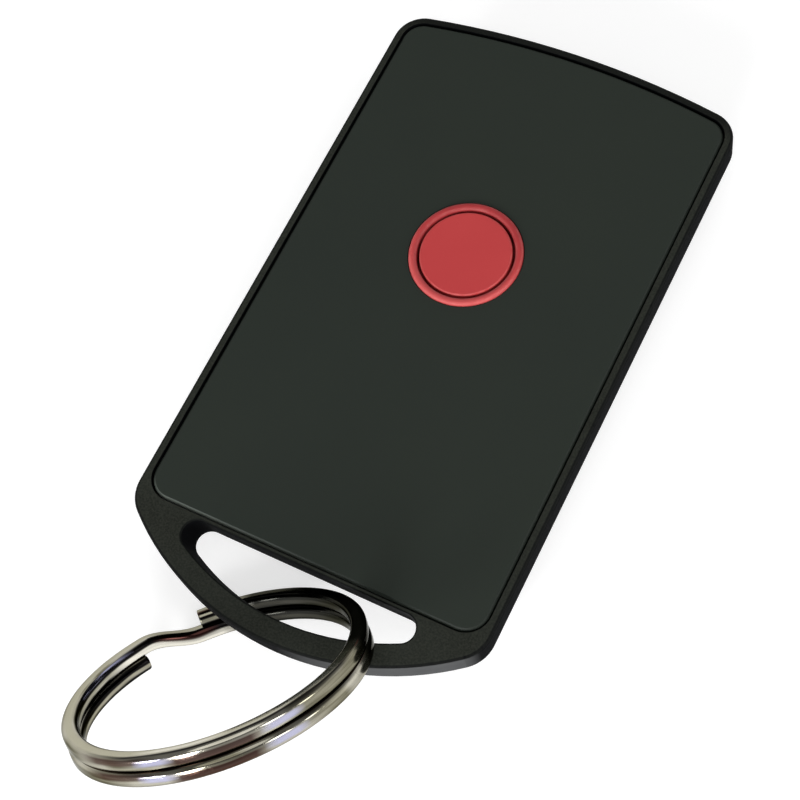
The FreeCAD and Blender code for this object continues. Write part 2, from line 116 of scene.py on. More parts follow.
def mixColour(tree, factor, first, second):
    node = tree.nodes.new("ShaderNodeMix")
    node.data_type = "RGBA"
    for index, value in ((0, factor), (6, first), (7, second)):  # the node's sockets for colours
        fill(tree, node.inputs[index], value)
    return node.outputs[2]


def span(tree, value, low, high, newLow=0.0, newHigh=1.0):
    # stretches low..high to newLow..newHigh, clamped
    sockets = {"Value": value, "From Min": low, "From Max": high, "To Min": newLow, "To Max": newHigh}
    return addNode(tree, "ShaderNodeMapRange", **sockets).outputs[0]


def noise(tree, vector, scale, detail=2.0, roughness=0.5):
    return addNode(tree, "ShaderNodeTexNoise", Vector=vector, Scale=scale, Detail=detail,
                   Roughness=roughness).outputs[0]


def newGroup(name, inputs, outputs):
    # an input of None is a vector, and the rest are numbers with that default
    group = bpy.data.node_groups.new(name, "ShaderNodeTree")
    for label, value in inputs.items():
        kind = "NodeSocketVector" if value is None else "NodeSocketFloat"
        socket = group.interface.new_socket(label, in_out="INPUT", socket_type=kind)
        if value is not None:
            socket.default_value = value
    for label in outputs:
        group.interface.new_socket(label, in_out="OUTPUT", socket_type="NodeSocketFloat")
    return group, group.nodes.new("NodeGroupInput"), group.nodes.new("NodeGroupOutput")


def useGroup(tree, group, **values):
    node = tree.nodes.new("ShaderNodeGroup")
    node.node_tree = group
    for name, value in values.items():
        fill(tree, node.inputs[name], value)
    return node


# Surface effects shared by the materials. Sizes are in features per metre

def makeMouldGrain():
    # the fine pitted skin that a spark-eroded mould leaves, and slow patches in the colour
    group, start, end = newGroup("mouldGrain", {"Vector": None, "Grain": 5000.0, "Patches": 120.0},
                                 ("Height", "Fleck", "Patch"))
    where = start.outputs["Vector"]
    fine = noise(group, where, start.outputs["Grain"], 3.0, 0.6)
    cells = addNode(group, "ShaderNodeTexVoronoi", Vector=where, Scale=start.outputs["Grain"])
    cells.feature = "SMOOTH_F1"
    pits = times(group, cells.outputs["Distance"], 0.6)
    group.links.new(mathNode(group, "ADD", fine, pits), end.inputs["Height"])
    group.links.new(span(group, fine, 0.35, 0.65), end.inputs["Fleck"])
    slow = noise(group, where, start.outputs["Patches"], 4.0, 0.55)
    group.links.new(span(group, slow, 0.3, 0.7), end.inputs["Patch"])
    return group


def makeEdgeWearAndGlint():
    # the rounded and bevelled edges, which face neither up nor sideways and wear first. The mask is
    # broken up so that it doesn't read as an outline, less so with more evenness. The edges that
    # face the lower end are a mask of their own, unbroken, for a painted highlight
    group, start, end = newGroup("edgeWearAndGlint", {"Vector": None, "Breakup": 1600.0, "Evenness": 0.0},
                                 ("Mask", "Lower End"))
    facing = group.nodes.new("ShaderNodeTexCoord").outputs["Normal"]
    parts = addNode(group, "ShaderNodeSeparateXYZ", Vector=facing)
    upright = mathNode(group, "ABSOLUTE", parts.outputs["Z"])
    edge = times(group, span(group, upright, 0.3, 0.5), span(group, upright, 0.99, 0.9))
    broken = span(group, noise(group, start.outputs["Vector"], start.outputs["Breakup"], 3.0), 0.3, 0.7)
    even = mathNode(group, "MAXIMUM", broken, start.outputs["Evenness"])
    group.links.new(times(group, edge, even), end.inputs["Mask"])
    lower = times(group, edge, span(group, parts.outputs["Y"], -0.2, -0.5))
    group.links.new(lower, end.inputs["Lower End"])
    return group


def makeSteepSide():
    # 1 on walls that stand upright, which take painted shade and are duller than the faces, and a
    # second mask for those of them that face the lower end, which take a painted light
    group, start, end = newGroup("steepSide", {}, ("Mask", "Lower End"))
    facing = group.nodes.new("ShaderNodeTexCoord").outputs["Normal"]
    parts = addNode(group, "ShaderNodeSeparateXYZ", Vector=facing)
    steep = span(group, mathNode(group, "ABSOLUTE", parts.outputs["Z"]), 0.5, 0.3)
    group.links.new(steep, end.inputs["Mask"])
    lower = times(group, steep, span(group, parts.outputs["Y"], -0.45, -0.8))
    group.links.new(lower, end.inputs["Lower End"])
    return group


def makeHandling():
    # smudges and hairlines from fingers and pockets, as a change in gloss
    group, start, end = newGroup("handling", {"Vector": None, "Smudge": 90.0, "Hairline": 900.0},
                                 ("Smudge", "Hairline"))
    where = start.outputs["Vector"]
    warped = addNode(group, "ShaderNodeTexNoise", Vector=where, Scale=start.outputs["Smudge"], Detail=3.0,
                     Distortion=1.2).outputs[0]
    group.links.new(span(group, warped, 0.4, 0.7), end.inputs["Smudge"])
    stretched = addNode(group, "ShaderNodeMapping", Vector=where, Rotation=(0.0, 0.0, 0.7),
                        Scale=(0.1, 1.0, 0.3)).outputs[0]
    lines = noise(group, stretched, start.outputs["Hairline"], 1.0)
    group.links.new(span(group, lines, 0.66, 0.74), end.inputs["Hairline"])
    return group


def makeDrawnWire():
    # long streaks along a drawn wire, and slower stretches, both also used for painted reflections.
    # The vector's X is the length along the wire and its Y the share of the way round it, which is
    # bent into a circle so that the streaks have no seam
    group, start, end = newGroup("drawnWire", {"Vector": None, "Streak Length": 9.0, "Streaks": 2.2,
                                               "Fine Lines": 9.0},
                                 ("Height", "Streak", "Stretch"))
    place = addNode(group, "ShaderNodeSeparateXYZ", Vector=start.outputs["Vector"])
    angle = times(group, place.outputs["Y"], 2.0 * math.pi)
    sideways, upwards = mathNode(group, "COSINE", angle), mathNode(group, "SINE", angle)
    length = start.outputs["Streak Length"]

    def roundWire(lines, runLength):
        run = mathNode(group, "DIVIDE", place.outputs["X"], runLength)
        vector = addNode(group, "ShaderNodeCombineXYZ", X=times(group, sideways, lines),
                         Y=times(group, upwards, lines), Z=run)
        return vector.outputs[0]

    fine = noise(group, roundWire(start.outputs["Fine Lines"], length), 1.0, 3.0, 0.6)
    group.links.new(fine, end.inputs["Height"])
    streaks = noise(group, roundWire(start.outputs["Streaks"], length), 1.0, 2.0, 0.5)
    group.links.new(span(group, streaks, 0.36, 0.64), end.inputs["Streak"])
    stretches = noise(group, roundWire(0.35, times(group, length, 0.5)), 1.0, 1.0)
    group.links.new(span(group, stretches, 0.4, 0.6), end.inputs["Stretch"])
    return group


def makeSoftBand():
    # 1 where a value is within reach of the centre, fading to 0 over the soft edge
    group, start, end = newGroup("softBand", {"Value": 0.0, "Centre": 0.0, "Reach": 0.05,
                                              "Soft": 0.03}, ("Mask",))
    offset = mathNode(group, "SUBTRACT", start.outputs["Value"], start.outputs["Centre"])
    outside = mathNode(group, "SUBTRACT", mathNode(group, "ABSOLUTE", offset), start.outputs["Reach"])
    share = mathNode(group, "DIVIDE", outside, start.outputs["Soft"])
    group.links.new(span(group, share, 0.0, 1.0, 1.0, 0.0), end.inputs["Mask"])
    return group


mouldGrain = makeMouldGrain()
edgeWearAndGlint = makeEdgeWearAndGlint()
steepSide = makeSteepSide()
handling = makeHandling()
drawnWire = makeDrawnWire()
softBand = makeSoftBand()
print("surface effects made")


# Materials

def newMaterial(name):
    material = bpy.data.materials.new(name)
    material.use_nodes = True
    tree = material.node_tree
    shader = tree.nodes["Principled BSDF"]
    where = tree.nodes.new("ShaderNodeTexCoord").outputs["Object"]
    return material, tree, shader, where


def addBump(tree, shader, height, distance):
    bump = addNode(tree, "ShaderNodeBump", Height=height, Distance=distance, Strength=1.0)
    tree.links.new(bump.outputs[0], shader.inputs["Normal"])


plasticWearAndLight = {
    "edgeGloss": 0.06, "hairlineGloss": 0.03,  # how far edges and hairlines lower the roughness
    "unevenEnds": (0.7, 1.0),  # share of the painted light on the lower end where the plastic's patches are 0 and 1
}


def plasticColour(tree, place, look, grain, edgeMasks, walls):
    # the tones of the walls, of the lower bevel and of the upper end aren't wear: they are light and
    # shade painted after the photograph, fixed to the part
    colour = mixColour(tree, grain["Patch"], look["dark"], look["light"])
    colour = mixColour(tree, times(tree, grain["Fleck"], look["fleck"]), colour, look["fleckColour"])
    # the edges: partly wear and partly painted shade
    colour = mixColour(tree, times(tree, edgeMasks["Mask"], look["wear"]), colour, look["wearAndShadingColour"])
    if "paleEdge" in look:
        pale = times(tree, edgeMasks["Lower End"], span(tree, place["X"], *inMetres(look["paleSide"])))
        colour = mixColour(tree, pale, colour, look["paleEdge"])
    if "side" in look:
        colour = mixColour(tree, times(tree, walls["Mask"], look["side"]), colour, look["wearAndShadingColour"])
    if "endColour" in look:
        uneven = span(tree, grain["Patch"], 0.0, 1.0, *plasticWearAndLight["unevenEnds"])
        ends = times(tree, walls["Lower End"], span(tree, place["Y"], *inMetres(look["endFrom"])),
                     span(tree, place["X"], *inMetres(look["endSide"])), uneven)
        colour = mixColour(tree, ends, colour, look["endColour"])
    if "topFrom" in look:
        shade = times(tree, span(tree, place["Y"], *inMetres(look["topFrom"])), look["topShade"])
        colour = mixColour(tree, shade, colour, look["wearAndShadingColour"])
    return colour


def plasticRoughness(tree, look, grain, marks, edgeMasks, walls):
    spread = look["roughSpread"]
    rough = span(tree, grain["Patch"], 0.0, 1.0, look["rough"] - spread, look["rough"] + spread)
    for mask, drop in (
        (marks["Smudge"], look["smudge"]),
        (times(tree, edgeMasks["Mask"], look["wear"]), plasticWearAndLight["edgeGloss"]),
        (marks["Hairline"], plasticWearAndLight["hairlineGloss"]),
        (walls["Mask"], -look.get("sideRough", 0.0)),
    ):
        rough = mathNode(tree, "SUBTRACT", rough, times(tree, mask, drop))
    return rough


def plasticMaterial(name, look):
    material, tree, shader, where = newMaterial(name)
    place = addNode(tree, "ShaderNodeSeparateXYZ", Vector=where).outputs
    grain = useGroup(tree, mouldGrain, Vector=where, Grain=look["grain"], Patches=look["patches"]).outputs
    marks = useGroup(tree, handling, Vector=where).outputs
    edgeMasks = useGroup(tree, edgeWearAndGlint, Vector=where, Evenness=look.get("evenness", 0.0)).outputs
    walls = useGroup(tree, steepSide).outputs
    colour = plasticColour(tree, place, look, grain, edgeMasks, walls)
    tree.links.new(colour, shader.inputs["Base Color"])
    rough = plasticRoughness(tree, look, grain, marks, edgeMasks, walls)
    tree.links.new(rough, shader.inputs["Roughness"])
    shader.inputs["Specular IOR Level"].default_value = look["specular"]
    addBump(tree, shader, grain["Height"], look["depth"] * mm)
    return material


metalSurface = {
    "smudges": 300.0, "patches": 400.0,  # features per metre
    "smudgeRough": 0.12, "hairlineRough": 0.1,  # how far they raise the roughness
}


def metalMaterial(name, look):
    material, tree, shader, where = newMaterial(name)
    marks = useGroup(tree, handling, Vector=where, Smudge=metalSurface["smudges"]).outputs
    grain = useGroup(tree, mouldGrain, Vector=where, Grain=look["grain"],
                     Patches=metalSurface["patches"]).outputs
    colour = mixColour(tree, grain["Patch"], look["dark"], look["light"])
    tree.links.new(colour, shader.inputs["Base Color"])
    shader.inputs["Metallic"].default_value = 1.0
    smudged = look["rough"] + metalSurface["smudgeRough"]
    rough = span(tree, marks["Smudge"], 0.0, 1.0, look["rough"], smudged)
    rough = mathNode(tree, "ADD", rough, times(tree, marks["Hairline"], metalSurface["hairlineRough"]))
    tree.links.new(rough, shader.inputs["Roughness"])
    addBump(tree, shader, grain["Height"], look["depth"] * mm)
    return material


def dress(node, material):
    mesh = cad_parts[node].data
    mesh.materials.clear()
    mesh.materials.append(material)


# Shells

shellPlastic = {
    "dark": fromScreen(33, 35, 31), "light": fromScreen(41, 44, 40),
    "fleck": 0.45, "fleckColour": fromScreen(60, 62, 55),
    "grain": 5200.0, "patches": 140.0, "depth": 0.014,
    "rough": 0.52, "roughSpread": 0.02, "smudge": 0.03,
    "specular": 0.03,  # far below real plastic, so that the walls don't mirror the white floor
    # edges darkened, partly by wear and partly as painted shade
    "wear": 1.0, "evenness": 0.8, "wearAndShadingColour": fromScreen(9, 10, 12),
    # painted light and shade: the walls and the upper end in the edges' dark colour, and the walls
    # that face the lower end in a pale one
    "side": 1.0, "sideRough": 0.35,  # share of the colour on the walls, and how much duller they are
    "endColour": fromScreen(92, 93, 94),
    "endFrom": (-25.5, -26.5), "endSide": (1.0, 7.0),  # mm up and across over which it comes in
    "topShade": 0.65, "topFrom": (29.5, 31.5),  # share of the colour, and mm up over which it comes in
}

shellMaterial = plasticMaterial("shellPlastic", shellPlastic)
dress("front_shell", shellMaterial)
dress("rear_shell", shellMaterial)


# Face plate

platePlastic = {
    "dark": fromScreen(37, 43, 38), "light": fromScreen(39, 45, 39),
    "fleck": 0.12, "fleckColour": fromScreen(46, 53, 47),
    "grain": 8000.0, "patches": 50.0, "depth": 0.003,
    "rough": 0.56, "roughSpread": 0.005, "smudge": 0.01, "specular": 0.2,
    # darker edges, partly wear and partly painted shade
    "wear": 0.6, "wearAndShadingColour": fromScreen(30, 35, 31),
    # painted light on the wall and the bevel that face the lower end
    "endColour": fromScreen(150, 156, 150), "endFrom": (0.0, -1.0), "endSide": (16.0, -16.0),  # mm
    "paleEdge": fromScreen(76, 82, 76), "paleSide": (2.0, -14.0),  # the bevel, and mm across
}

dress("face_plate", plasticMaterial("platePlastic", platePlastic))


# Button and its ring

buttonPlastic = {
    "dark": fromScreen(189, 61, 63), "light": fromScreen(193, 64, 65),
    "fleck": 0.1, "fleckColour": fromScreen(196, 80, 78),
    "grain": 7000.0, "patches": 140.0, "depth": 0.003,
    "rough": 0.44, "roughSpread": 0.015, "smudge": 0.03, "specular": 0.3,
    # pale edges, partly wear and partly a painted highlight
    "wear": 0.45, "wearAndShadingColour": fromScreen(214, 116, 112),
}

buttonRingPlastic = dict(
    buttonPlastic, rough=0.48, specular=0.25,
    darkTone=fromScreen(128, 38, 44), toneScale=900.0,
    grooveEdge=(4.9, 5.3),  # mm from the button's axis, over which the dark in the groove ends
    grooveDark=(0.5, 0.6), slopeDark=(0.0, 0.5),  # in the groove and beside it, at the lower and upper side
    darkRise=(-1.0, 4.0),  # mm up from the axis, over which the lower side turns to the upper
    paleTone=fromScreen(224, 108, 106), paleShare=0.35,
    paleFall=(1.0, -4.0),  # mm up from the axis, over which the pale side comes in
)


def shadeButtonRing(material, node, look):
    # light and shade painted after the photograph: the ring's lower side is pale, and the groove
    # round the cap, the inner slope and the upper side are dark
    tree = material.node_tree
    shader = tree.nodes["Principled BSDF"]
    middle = sum((Vector(corner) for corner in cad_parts[node].bound_box), Vector()) / 8.0
    where = tree.nodes.new("ShaderNodeTexCoord").outputs["Object"]
    place = addNode(tree, "ShaderNodeSeparateXYZ", Vector=where)
    across = mathNode(tree, "SUBTRACT", place.outputs["X"], middle.x)
    along = mathNode(tree, "SUBTRACT", place.outputs["Y"], middle.y)
    squares = mathNode(tree, "ADD", times(tree, across, across), times(tree, along, along))
    away = mathNode(tree, "SQRT", squares)
    near = span(tree, away, *inMetres(look["grooveEdge"]), 1.0, 0.0)
    upper = span(tree, along, *inMetres(look["darkRise"]))
    inGroove = times(tree, near, span(tree, upper, 0.0, 1.0, *look["grooveDark"]))
    share = mathNode(tree, "MAXIMUM", inGroove, span(tree, upper, 0.0, 1.0, *look["slopeDark"]))
    uneven = span(tree, noise(tree, where, look["toneScale"], 3.0), 0.3, 0.7, 0.8, 1.0)
    unshaded = shader.inputs["Base Color"].links[0].from_socket
    lower = span(tree, along, *inMetres(look["paleFall"]), 0.0, look["paleShare"])
    paled = mixColour(tree, lower, unshaded, look["paleTone"])
    darkened = mixColour(tree, times(tree, share, uneven), paled, look["darkTone"])
    tree.links.new(darkened, shader.inputs["Base Color"])


dress("button_cap", plasticMaterial("buttonPlastic", buttonPlastic))
buttonRingMaterial = plasticMaterial("buttonRingPlastic", buttonRingPlastic)
shadeButtonRing(buttonRingMaterial, "button_ring", buttonRingPlastic)
dress("button_ring", buttonRingMaterial)
print("visible plastics done")


# Split ring, two turns of flattened nickel wire

splitRing = {
    "diameter": 28.0, "wireWidth": 1.5, "wireHeight": 1.45, "turnGap": 0.04, "wireRound": 0.5,  # mm
    "tilt": 47.6, "uphill": -46.3,  # degrees
    "through": (5.0, -27.58, 7.15),  # mm, where the wire's middle passes the slot
    "crossingStart": 279.0, "crossingSpan": 24.0, "endGap": 1.2,  # degrees round the ring
    "endRound": 0.12,  # mm, how far the cut ends are rounded over
    "seam": 0.7,  # share of the way round the section, underneath
    "steps": 700, "around": 10,  # sections along the wire, and steps in each rounded corner
}


def wireMiddle(ring):
    return (ring["diameter"] - ring["wireWidth"]) / 2.0


def ringFrame(ring):
    # the ring stands on the floor and leans, turned so that its wire's middle is in the slot
    tilt, uphill = math.radians(ring["tilt"]), math.radians(ring["uphill"])
    slope = Vector((math.cos(tilt) * math.cos(uphill), math.cos(tilt) * math.sin(uphill), math.sin(tilt)))
    level = Vector((math.sin(uphill), -math.cos(uphill), 0.0))
    reach = ring["diameter"] / 2.0 - ring["wireRound"]
    stack = ring["wireHeight"] + ring["turnGap"] / 2.0 - ring["wireRound"]
    centreHeight = ring["wireRound"] + reach * math.sin(tilt) + stack * math.cos(tilt)
    middle = wireMiddle(ring)
    rise = (ring["through"][2] - centreHeight) / (middle * math.sin(tilt))
    offset = slope * (middle * rise) - level * (middle * math.sqrt(1.0 - rise ** 2))
    turn = Matrix((level, slope, level.cross(slope))).transposed()
    return Matrix.Translation(Vector(ring["through"]) - offset) @ turn.to_4x4()


def wireOutline(ring):
    # the rounded section as (outwards, along the axis), counter-clockwise
    wide = ring["wireWidth"] / 2.0 - ring["wireRound"]
    tall = ring["wireHeight"] / 2.0 - ring["wireRound"]
    points = []
    for number, (sx, sy) in enumerate(((1, 1), (-1, 1), (-1, -1), (1, -1))):
        for step in range(ring["around"] + 1):
            angle = math.radians(90.0 * number + 90.0 * step / ring["around"])
            points.append((sx * wide + ring["wireRound"] * math.cos(angle),
                           sy * tall + ring["wireRound"] * math.sin(angle)))
    return points


def aroundShares(outline):
    # the share of the way round the section at each point, and 1 back at the first
    run = [0.0]
    for (ax, ay), (bx, by) in zip(outline, outline[1:] + outline[:1]):
        run.append(run[-1] + math.hypot(bx - ax, by - ay))
    return [distance / run[-1] for distance in run]


def wireTurns(ring):
    # degrees round the ring where the wire starts, begins to cross down and ends
    first = ring["crossingStart"] - ring["endGap"]
    crossing = ring["crossingStart"] + ring["crossingSpan"] - 360.0
    return first, crossing, crossing - 360.0 + ring["endGap"]


def wireSpots(ring, length):
    # mm along the wire, closer together over the rounded ends
    ends = [ring["endRound"] * share for share in (0.0, 0.15, 0.5, 1.0)]
    run = length - 2.0 * ring["endRound"]
    between = [ring["endRound"] + run * step / ring["steps"] for step in range(1, ring["steps"])]
    return ends + between + [length - spot for spot in reversed(ends)]


def wireSection(ring, outline, spot, length):
    # points round the wire at one spot, drawn in near the cut ends
    first, crossing, _ = wireTurns(ring)
    turned = first - math.degrees(spot / wireMiddle(ring))
    crossed = min(max((crossing - turned) / ring["crossingSpan"], 0.0), 1.0)
    height = (ring["wireHeight"] + ring["turnGap"]) / 2.0 * math.cos(math.pi * crossed)
    short = 1.0 - min(min(spot, length - spot) / ring["endRound"], 1.0)
    drawnIn = ring["endRound"] * (1.0 - math.sqrt(1.0 - short ** 2))
    size = 1.0 - drawnIn / (ring["wireWidth"] / 2.0)
    angle = math.radians(turned)
    points = []
    for across, along in outline:
        radius = wireMiddle(ring) + across * size
        points.append(Vector((radius * math.cos(angle), radius * math.sin(angle), height + along * size)))
    return points


def makeSplitRing(ring):
    outline = wireOutline(ring)
    around = aroundShares(outline)
    first, _, last = wireTurns(ring)
    length = wireMiddle(ring) * math.radians(first - last)
    spots = wireSpots(ring, length)
    place = ringFrame(ring)
    build = bmesh.new()
    uvLayer = build.loops.layers.uv.new("alongWire")
    rows = [[build.verts.new(place @ point * mm) for point in wireSection(ring, outline, spot, length)]
            for spot in spots]
    for number, (row, nextRow) in enumerate(zip(rows, rows[1:])):
        for side in range(len(outline)):
            after = (side + 1) % len(outline)
            face = build.faces.new((row[side], row[after], nextRow[after], nextRow[side]))
            face.smooth = True
            # mm along the wire, and the share of the way round it, less 1 past the seam
            back = 1.0 if around[side] > ring["seam"] else 0.0
            corners = ((number, side), (number, side + 1), (number + 1, side + 1), (number + 1, side))
            for loop, (section, column) in zip(face.loops, corners):
                loop[uvLayer].uv = (spots[section], around[column] - back)
    build.faces.new(rows[0][::-1])
    build.faces.new(rows[-1])
    bmesh.ops.recalc_face_normals(build, faces=build.faces)
    mesh = bpy.data.meshes.new("splitRingWire")
    build.to_mesh(mesh)
    build.free()
    wire = bpy.data.objects.new("splitRingWire", mesh)
    bpy.context.scene.collection.objects.link(wire)
    return wire


nickel = {
    # tones for the wire's colour, most of them painted reflections and shade
    "bright": fromScreen(226, 222, 210), "cream": fromScreen(184, 180, 160),
    "beige": fromScreen(158, 154, 136), "olive": fromScreen(104, 101, 84),
    "lavender": fromScreen(198, 198, 230), "brown": fromScreen(66, 40, 36),
    "dark": fromScreen(24, 23, 23), "shade": fromScreen(46, 46, 43),
    "rough": 0.1, "smudgeRough": 0.1, "hairlineRough": 0.1,  # the last two are added to the first
    "smudges": 260.0, "hairlines": 2500.0,  # features per metre
    "depth": 0.004, "edgeTint": (0.45, 0.45, 0.43, 1.0),
    "brightStretch": 0.4,  # share of the bright tone, a painted reflection, in the paler stretches
    "waver": 0.05, "waverScale": 0.22,  # how far the bands wander round the wire, and bends per mm
    # reflections painted after the photograph, because what stood round the ring isn't known:
    # tone, strength, then centre, reach and soft edge as shares of the way round. 0 is where the
    # outer side meets the upper outer corner, and the inner side is at 0.41 to 0.5
    "bands": (
        ("brown", 0.8, -0.2, 0.02, 0.03),
        ("cream", 0.9, 0.21, 0.05, 0.03),
        ("dark", 1.0, 0.385, 0.05, 0.03),
        ("beige", 0.8, 0.47, 0.012, 0.015),
        ("dark", 1.0, 0.6, 0.07, 0.03),
        ("dark", 1.0, -0.29, 0.03, 0.03),
    ),
    # more of them, on stretches of the wire: tone and strength, then centres, reach and soft edge
    # in mm along the wire, then shares as above
    "patches": (
        ("brown", 0.9, (43.4, 126.7), 3.0, 1.2, -0.09, 0.05, 0.03),
        ("brown", 0.8, (52.0, 135.2), 2.0, 2.5, 0.02, 0.04, 0.04),
        ("dark", 0.9, (41.0, 124.0), 10.0, 5.0, 0.11, 0.01, 0.02),
        ("bright", 0.8, (34.0, 46.0, 117.5, 129.5), 2.0, 2.5, 0.2, 0.02, 0.03),
        ("dark", 0.7, (33.0, 116.2), 2.5, 2.0, 0.1, 0.03, 0.03),
        ("lavender", 0.8, (37.6, 120.9), 0.9, 1.2, -0.05, 0.03, 0.04),
        ("lavender", 0.8, (48.4, 131.7), 0.7, 1.2, -0.03, 0.03, 0.04),
        ("lavender", 0.7, (71.5,), 2.5, 2.0, 0.36, 0.02, 0.02),
        ("bright", 1.0, (80.0,), 5.0, 3.0, 0.52, 0.06, 0.03),
        ("brown", 0.8, (81.5,), 2.0, 1.5, 0.4, 0.05, 0.03),
        ("beige", 0.8, (0.0,), 2.0, 1.0, 0.36, 0.015, 0.02),
        ("brown", 0.8, (0.0,), 2.0, 1.0, 0.29, 0.03, 0.03),
    ),
    # painted shade beside the bar: strength, then centre, reach and soft edge in mm along the wire
    "shaded": ((0.92, 16.0, 10.5, 2.5), (0.92, 98.5, 10.5, 3.0)),
}


def bandMask(tree, value, centre, reach, soft):
    return useGroup(tree, softBand, Value=value, Centre=centre, Reach=reach, Soft=soft).outputs["Mask"]


def nickelColour(tree, look, lines, along, around):
    # the wire's streaks, their tones partly painted reflection, and paler stretches of painted reflection
    colour = mixColour(tree, lines["Streak"], look["olive"], look["beige"])
    colour = mixColour(tree, times(tree, lines["Stretch"], look["brightStretch"]), colour, look["bright"])
    for tone, strength, *width in look["bands"]:
        mask = times(tree, bandMask(tree, around, *width), strength)
        colour = mixColour(tree, mask, colour, look[tone])
    for tone, strength, centres, reach, soft, *width in look["patches"]:
        for centre in centres:
            stretch = bandMask(tree, along, centre, reach, soft)
            mask = times(tree, stretch, bandMask(tree, around, *width), strength)
            colour = mixColour(tree, mask, colour, look[tone])
    for strength, *stretch in look["shaded"]:
        shade = times(tree, bandMask(tree, along, *stretch), strength)
        colour = mixColour(tree, shade, colour, look["shade"])
    return colour


def nickelMaterial(look):
    material, tree, shader, where = newMaterial("nickelWire")
    coords = tree.nodes.new("ShaderNodeUVMap")
    coords.uv_map = "alongWire"
    lines = useGroup(tree, drawnWire, Vector=coords.outputs[0]).outputs
    marks = useGroup(tree, handling, Vector=where, Smudge=look["smudges"],
                     Hairline=look["hairlines"]).outputs
    place = addNode(tree, "ShaderNodeSeparateXYZ", Vector=coords.outputs[0]).outputs
    run = addNode(tree, "ShaderNodeCombineXYZ", X=place["X"]).outputs[0]
    drift = mathNode(tree, "SUBTRACT", noise(tree, run, look["waverScale"], 1.0), 0.5)
    around = mathNode(tree, "ADD", place["Y"], times(tree, drift, look["waver"]))
    tree.links.new(nickelColour(tree, look, lines, place["X"], around), shader.inputs["Base Color"])
    shader.inputs["Metallic"].default_value = 1.0
    shader.inputs["Specular Tint"].default_value = look["edgeTint"]
    rough = span(tree, marks["Smudge"], 0.0, 1.0, look["rough"], look["rough"] + look["smudgeRough"])
    rough = mathNode(tree, "ADD", rough, times(tree, marks["Hairline"], look["hairlineRough"]))
    tree.links.new(rough, shader.inputs["Roughness"])
    addBump(tree, shader, lines["Height"], look["depth"] * mm)
    return material


ringWire = makeSplitRing(splitRing)
ringWire.data.materials.append(nickelMaterial(nickel))
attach(ringWire, "ring")
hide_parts("split_ring")
print("split ring made")


# Inner pieces and screws

blackEpoxy = {
    "dark": fromScreen(30, 30, 32), "light": fromScreen(42, 42, 44),
    "fleck": 0.3, "fleckColour": fromScreen(66, 66, 68),
    "grain": 9000.0, "patches": 500.0, "depth": 0.006,
    "rough": 0.6, "roughSpread": 0.03, "smudge": 0.05, "specular": 0.4,
    "wear": 0.3, "wearAndShadingColour": fromScreen(84, 84, 86),
}

boardLacquer = {
    "dark": fromScreen(22, 78, 48), "light": fromScreen(32, 96, 60),
    "fleck": 0.2, "fleckColour": fromScreen(60, 120, 84),
    "grain": 4000.0, "patches": 260.0, "depth": 0.01,
    "rough": 0.35, "roughSpread": 0.03, "smudge": 0.08, "specular": 0.5,
    "wear": 0.5, "wearAndShadingColour": fromScreen(190, 176, 120),
}

ceramicBody = {
    "dark": fromScreen(176, 150, 118), "light": fromScreen(196, 172, 138),
    "fleck": 0.3, "fleckColour": fromScreen(214, 200, 172),
    "grain": 9000.0, "patches": 900.0, "depth": 0.004,
    "rough": 0.45, "roughSpread": 0.03, "smudge": 0.05, "specular": 0.5,
    "wear": 0.3, "wearAndShadingColour": fromScreen(226, 216, 196),
}

resistorBody = dict(ceramicBody, dark=fromScreen(28, 28, 32), light=fromScreen(40, 40, 46),
                    fleckColour=fromScreen(90, 90, 94), wearAndShadingColour=fromScreen(150, 150, 150))
trimmerBody = dict(ceramicBody, dark=fromScreen(214, 206, 182), light=fromScreen(228, 220, 198))
tapeSheet = dict(ceramicBody, dark=fromScreen(206, 204, 192), light=fromScreen(220, 218, 208), rough=0.7)

plainSteel = {"dark": fromScreen(176, 176, 178), "light": fromScreen(206, 206, 206), "grain": 6000.0,
              "rough": 0.28, "depth": 0.002}
screwSteel = {"dark": fromScreen(128, 128, 132), "light": fromScreen(164, 164, 166), "grain": 7000.0,
              "rough": 0.3, "depth": 0.004}
tinned = {"dark": fromScreen(186, 184, 176), "light": fromScreen(214, 210, 200), "grain": 6000.0,
          "rough": 0.35, "depth": 0.004}
copperWire = {"dark": fromScreen(170, 96, 66), "light": fromScreen(206, 128, 92), "grain": 5000.0,
              "rough": 0.25, "depth": 0.003}
goldFlash = {"dark": fromScreen(206, 170, 98), "light": fromScreen(230, 198, 128), "grain": 5000.0,
             "rough": 0.25, "depth": 0.002}

for names, look in (
    (("switch_base", "switch_plunger", "encoder_chip", "output_transistor"), blackEpoxy),
    (("circuit_board",), boardLacquer),
    (("capacitors",), ceramicBody),
    (("resistors",), resistorBody),
    (("tuning_trimmer",), trimmerBody),
    (("adhesive_sheet",), tapeSheet),
):
    material = plasticMaterial(names[0] + "Finish", look)
    for node in names:
        dress(node, material)

for names, look in (
    (("coin_cell", "battery_clip", "switch_cover", "switch_dome", "resonator_can"), plainSteel),
    (("case_screws",), screwSteel),
    (("switch_terminals",), tinned),
    (("antenna_loop",), copperWire),
    (("battery_contact",), goldFlash),
):
    material = metalMaterial(names[0] + "Finish", look)
    for node in names:
        dress(node, material)
print("inner pieces done")


# Floor and light

